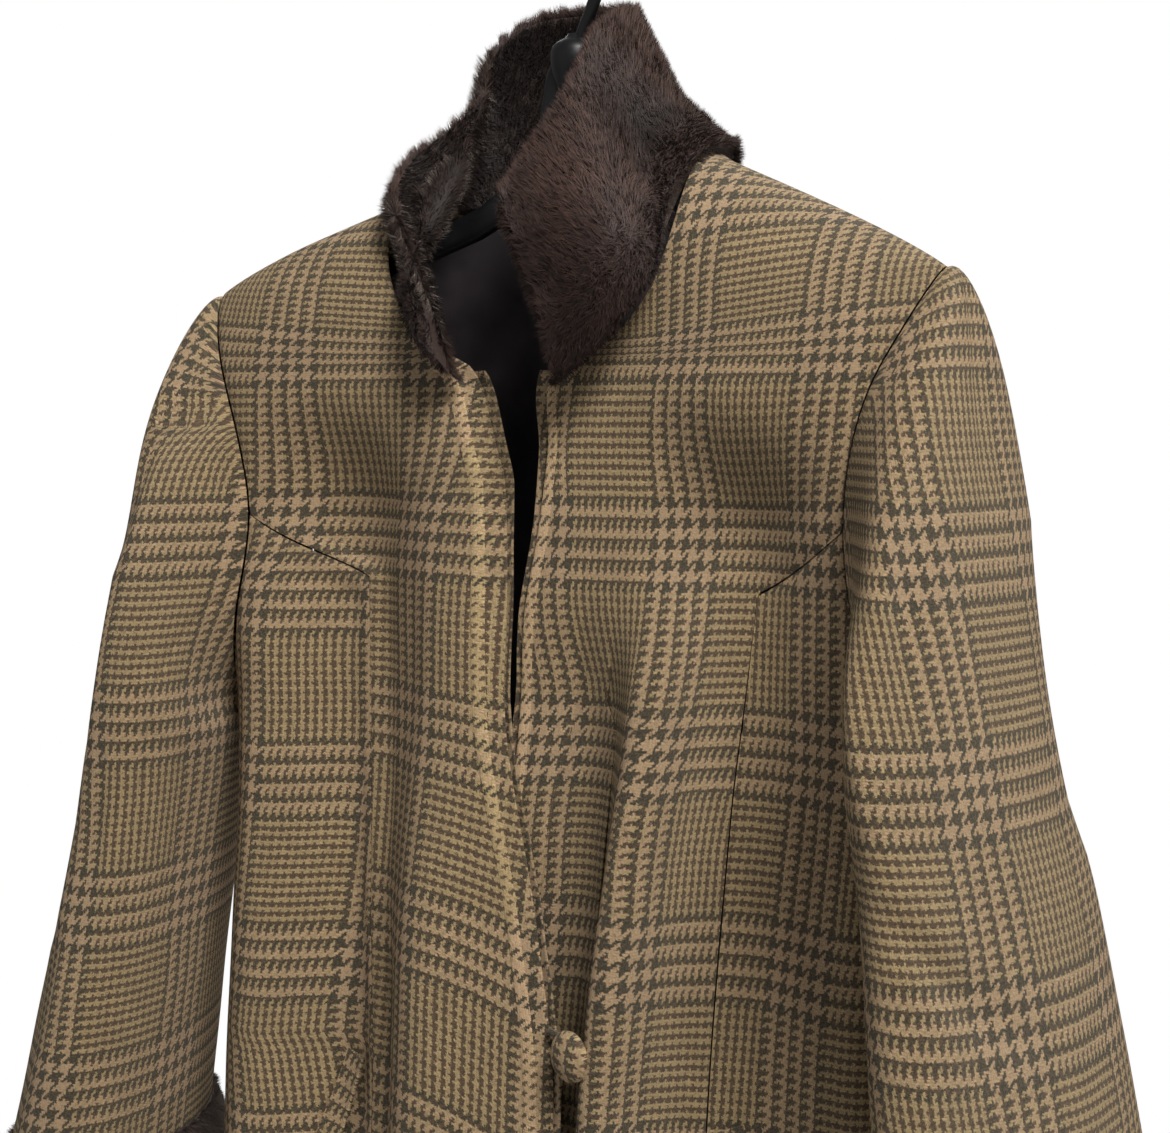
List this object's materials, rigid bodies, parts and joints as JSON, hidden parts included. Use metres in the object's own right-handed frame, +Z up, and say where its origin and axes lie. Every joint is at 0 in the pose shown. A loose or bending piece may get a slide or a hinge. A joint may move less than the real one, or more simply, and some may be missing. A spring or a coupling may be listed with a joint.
{
  "type": "fur-trimmed coat",
  "caption": "Knee-length glen check wool coat with a stand-up fur collar and fur cuffs, hanging on a moulded hanger.",
  "frame": {"origin": "where the inside of the hanger's hook bears on its rod", "axes": "+Z up, -Y out of the front of the coat, +X towards the wearer's left"},
  "size_m": [0.6896, 0.2711, 1.0814],
  "materials": {
    "tweed": "napped wool tweed, glen check",
    "facing_tweed": "wool tweed, turned edge",
    "trim_tweed": "wool tweed, narrow strips",
    "button_tweed": "wool tweed, stretched over a button",
    "fur": "sheared dark brown fur",
    "lining": "smooth charcoal lining",
    "hanger_plastic": "moulded, glossy"
  },
  "bodies": {
    "root": {"back": "tweed", "front_left": "tweed", "side_front_left": "tweed", "sleeve_upper_left": "tweed", "sleeve_under_left": "tweed", "front_right": "tweed", "side_front_right": "tweed", "sleeve_upper_right": "tweed", "sleeve_under_right": "tweed", "facing_left": "facing_tweed", "facing_right": "facing_tweed", "pocket_welt_left": "trim_tweed", "pocket_welt_right": "trim_tweed", "button": "button_tweed", "button_loop": "trim_tweed", "lining_back": "lining", "collar": "fur", "cuff_left": "fur", "cuff_right": "fur", "hanger": "hanger_plastic"}
  },
  "joints": []
}
